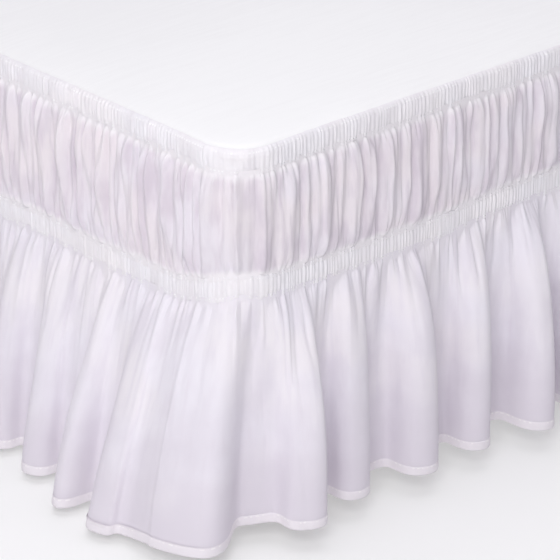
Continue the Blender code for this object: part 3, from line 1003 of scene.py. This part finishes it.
def ramped(tree, value, start, end, to_low=0.0, to_high=1.0):
    """Value taken smoothly from start..end to to_low..to_high."""
    inputs = {"Value": value, "From Min": start, "From Max": end, "To Min": to_low}
    inputs["To Max"] = to_high
    return add_node(tree, "MapRange", inputs, interpolation_type="SMOOTHSTEP").outputs["Result"]


def blended(tree, share, first, second):
    inputs = {0: share}
    for key, value in ((6, first), (7, second)):
        inputs[key] = (*value, 1) if isinstance(value, tuple) else value
    return add_node(tree, "Mix", inputs, data_type="RGBA").outputs[2]


def add_bump(tree, shader, height, strength, distance):
    made = add_node(tree, "Bump", {"Height": height, "Strength": strength, "Distance": distance})
    tree.links.new(made.outputs["Normal"], shader.inputs["Normal"])


def new_material(name, roughness, sheen=0.0):
    made = bpy.data.materials.new(name)
    made.use_nodes = True
    shader = made.node_tree.nodes["Principled BSDF"]
    shader.inputs["Roughness"].default_value = roughness
    shader.inputs["Sheen Weight"].default_value = sheen
    shader.inputs["Sheen Roughness"].default_value = 0.6
    return made, made.node_tree, shader


def thread_waves(tree, split, axes, pitch):
    """Waves of the threads of a weave, along each of these axes."""
    waves = []
    for axis in axes:
        turn = maths(tree, "MULTIPLY", split.outputs[axis], 2 * math.pi / pitch)
        waves.append(maths(tree, "SINE", turn))
    return waves


def stitch_row(tree, along, down, where):
    """1 on the stitches of a row at a distance down the cloth."""
    flat = add_node(tree, "CombineXYZ", {"X": along, "Y": where}).outputs["Vector"]
    uneven = maths(tree, "MULTIPLY", noise(tree, flat, scale=60.0), 3.0)
    turn = maths(tree, "FRACT", maths(tree, "MULTIPLY_ADD", along, 1 / STITCH_PITCH, uneven))
    from_middle = maths(tree, "ABSOLUTE", maths(tree, "SUBTRACT", turn, 0.5))
    dash = ramped(tree, from_middle, start=0.30, end=0.18)
    shown = ramped(tree, noise(tree, flat, scale=110.0), start=0.40, end=0.55)
    away = maths(tree, "ABSOLUTE", maths(tree, "SUBTRACT", down, where))
    near = maths(tree, "MULTIPLY", shown, ramped(tree, away, start=0.0009, end=0.0004))
    return maths(tree, "MULTIPLY", dash, near)


def cloth_material(
    name, sheen, tones, shade, streaky, falls=(), hem=None, stitches=(), thread=None,
):
    """Brushed microfibre, as the table of cloths describes it."""
    made, tree, shader = new_material(name, 0.88, sheen)
    places = add_node(tree, "UVMap", uv_map="cloth").outputs["UV"]
    split = add_node(tree, "SeparateXYZ", {0: places})
    along = split.outputs["X"]
    down = split.outputs["Y"]
    coolness = ramped(tree, noise(tree, places, scale=11.0), start=0.35, end=0.65)
    colour = blended(tree, coolness, *tones)
    cloud = noise(tree, stretched(tree, places, (34.0, 13.0, 1.0)), detail=3.0)
    colour = blended(tree, ramped(tree, cloud, start=0.46, end=0.72), colour, shade)
    streak = noise(tree, stretched(tree, places, (150.0, 17.0, 1.0)), detail=3.0)
    streak = maths(tree, "MULTIPLY", ramped(tree, streak, start=0.45, end=0.75), streaky)
    colour = blended(tree, streak, colour, shade)
    # Falls blend a colour in down the cloth: the ruffle's, darker towards the hem, is painted
    # shade
    for tint, start, end in falls:
        spread = abs(end - start) / 2
        cloudy = maths(tree, "MULTIPLY_ADD", noise(tree, places, scale=17.0), 2 * spread, down)
        low = ramped(tree, maths(tree, "SUBTRACT", cloudy, spread), start, end)
        colour = blended(tree, low, colour, tint)
    if hem:
        past = ramped(tree, down, HEM_LINE - HEM_BLUR, HEM_LINE + HEM_BLUR)
        colour = blended(tree, past, colour, hem)
    weave = maths(tree, "MULTIPLY", *thread_waves(tree, split, "XY", THREAD_PITCH))
    nap = noise(tree, places, scale=1400.0, detail=3.0)
    height = maths(tree, "MULTIPLY_ADD", weave, 0.25, nap)
    for where in stitches:
        dash = stitch_row(tree, along, down, where)
        colour = blended(tree, dash, colour, thread)
        height = maths(tree, "MULTIPLY_ADD", dash, STITCH_DEPTH, height)
    tree.links.new(colour, shader.inputs["Base Color"])
    add_bump(tree, shader, height, strength=0.35, distance=0.0001)
    return made


def woven_material(name):
    """Plain woven cover of the base, whose colour varies softly."""
    made, tree, shader = new_material(name, 0.92, 0.1)
    spots = solid_places(tree)
    slubs = noise(tree, solid_places(tree, (260, 14, 60)), detail=3.0)
    cloud = maths(tree, "MULTIPLY", noise(tree, spots, scale=3.0), 0.6)
    cloud = maths(tree, "MULTIPLY_ADD", slubs, 0.4, cloud)
    colour = blended(tree, ramped(tree, cloud, start=0.38, end=0.62), *COVER_TONES)
    tree.links.new(colour, shader.inputs["Base Color"])
    split = add_node(tree, "SeparateXYZ", {0: spots})
    threads = thread_waves(tree, split, "XYZ", COVER_PITCH)
    weave = maths(tree, "MULTIPLY_ADD", threads[0], threads[1], threads[2])
    height = maths(tree, "MULTIPLY_ADD", weave, 0.4, slubs)
    add_bump(tree, shader, height, strength=0.3, distance=0.0002)
    return made


def wood_material(name):
    """Satin wood with its grain upright."""
    made, tree, shader = new_material(name, 0.5)
    sway = noise(tree, solid_places(tree, (9, 9, 3)))
    rings = solid_places(tree, (210, 210, 5))
    moved = add_node(tree, "VectorMath", {0: rings, 1: sway}, operation="ADD").outputs["Vector"]
    grain = noise(tree, moved, detail=5.0)
    colour = blended(tree, ramped(tree, grain, start=0.35, end=0.65), WOOD_DARK, WOOD_LIGHT)
    pores = noise(tree, solid_places(tree, (900, 900, 22)))
    pored = ramped(tree, pores, start=0.60, end=0.72, to_high=0.5)
    tree.links.new(blended(tree, pored, colour, WOOD_DARK), shader.inputs["Base Color"])
    rough = ramped(tree, grain, start=0.3, end=0.7, to_low=0.42, to_high=0.58)
    tree.links.new(rough, shader.inputs["Roughness"])
    add_bump(tree, shader, pores, strength=0.25, distance=0.0003)
    return made


def floor_material(name):
    """White floor that glows a little, to come out near white."""
    made, tree, shader = new_material(name, 0.9)
    mottle = noise(tree, solid_places(tree), scale=1.5)
    tree.links.new(blended(tree, mottle, *FLOOR_TONES), shader.inputs["Base Color"])
    shader.inputs["Emission Color"].default_value = (1, 1, 1, 1)
    shader.inputs["Emission Strength"].default_value = FLOOR_GLOW
    return made


def aim(thing, spot, target):
    """Put a light or the camera at a spot and point it at its target."""
    thing.location = spot
    thing.rotation_euler = (Vector(target) - Vector(spot)).to_track_quat("-Z", "Y").to_euler()


def add_light(name, spot, target, size, power):
    lamp = bpy.data.lights.new(name, "AREA")
    lamp.shape = "SQUARE"
    lamp.size = size
    lamp.energy = power
    thing = add_object(name, lamp)
    thing.visible_camera = False
    aim(thing, spot, target)


band_places = drawn_columns(FINE)
panel_ends = fine_folds(PANEL_EDGE_FOLDS, band_places, np.array([0, PANEL_HEIGHT]))
ruffle_ends = fine_folds(RUFFLE_EDGE_FOLDS, band_places, np.zeros(1))
heading = build_band("heading_shirring", heading_upper, HEADING_SEED, None, panel_ends[0])
middle = build_band("middle_shirring", middle_upper, MIDDLE_SEED, panel_ends[1], ruffle_ends[0])
panel = build_gathered("gathered_panel", panel_rows, PANEL_DOWN, (0, PANEL_HEIGHT), PANEL_STRIPS)
ruffle = build_gathered("draped_ruffle", ruffle_rows, RUFFLE_DOWN, (0,), RUFFLE_STRIPS)

cloths = {slot: cloth_material(**look) for slot, look in CLOTHS.items()}
for group, node, slot in (
    (heading, "heading_band", "band_fabric"),
    (middle, "middle_band", "band_fabric"),
    (panel, "upper_panel", "panel_fabric"),
    (ruffle, "ruffle", "ruffle_fabric"),
):
    for thing in group:
        thing.data.materials.append(cloths[slot])
        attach(thing, "root")
        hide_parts(node)
        spots = np.zeros(2 * len(thing.data.loops), np.float32)
        thing.data.uv_layers["cloth"].data.foreach_get("uv", spots)

base = build_base()
base.data.materials.append(woven_material("base_cover"))
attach(base, "root")
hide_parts("bed_base")
wood = wood_material("leg_wood")
for leg in ("leg_foot_right", "leg_foot_left", "leg_head_right", "leg_head_left"):
    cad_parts[leg].material_slots[0].material = wood

floor_mesh = bpy.data.meshes.new("floor")
corners = [(x * FLOOR_REACH, y * FLOOR_REACH, 0) for x, y in ((-1, -1), (1, -1), (1, 1), (-1, 1))]
floor_mesh.from_pydata(corners, [], [(0, 1, 2, 3)])
floor = add_object("floor", floor_mesh)
floor_mesh.materials.append(floor_material("floor_white"))

world = bpy.data.worlds.new("studio")
bpy.context.scene.world = world
world.use_nodes = True
sky = world.node_tree.nodes["Background"].inputs
sky["Color"].default_value = SKY_COLOUR
sky["Strength"].default_value = SKY_STRENGTH
for light in LIGHTS:
    add_light(*light)

camera_data = bpy.data.cameras.new("camera")
camera_data.lens = CAMERA_LENS
camera_data.sensor_width = SENSOR_WIDTH
camera = add_object("camera", camera_data)
aim(camera, CAMERA_PLACE, CAMERA_AIM)
bpy.context.scene.camera = camera
bpy.context.scene.view_settings.view_transform = "Standard"

bpy.context.view_layer.update()
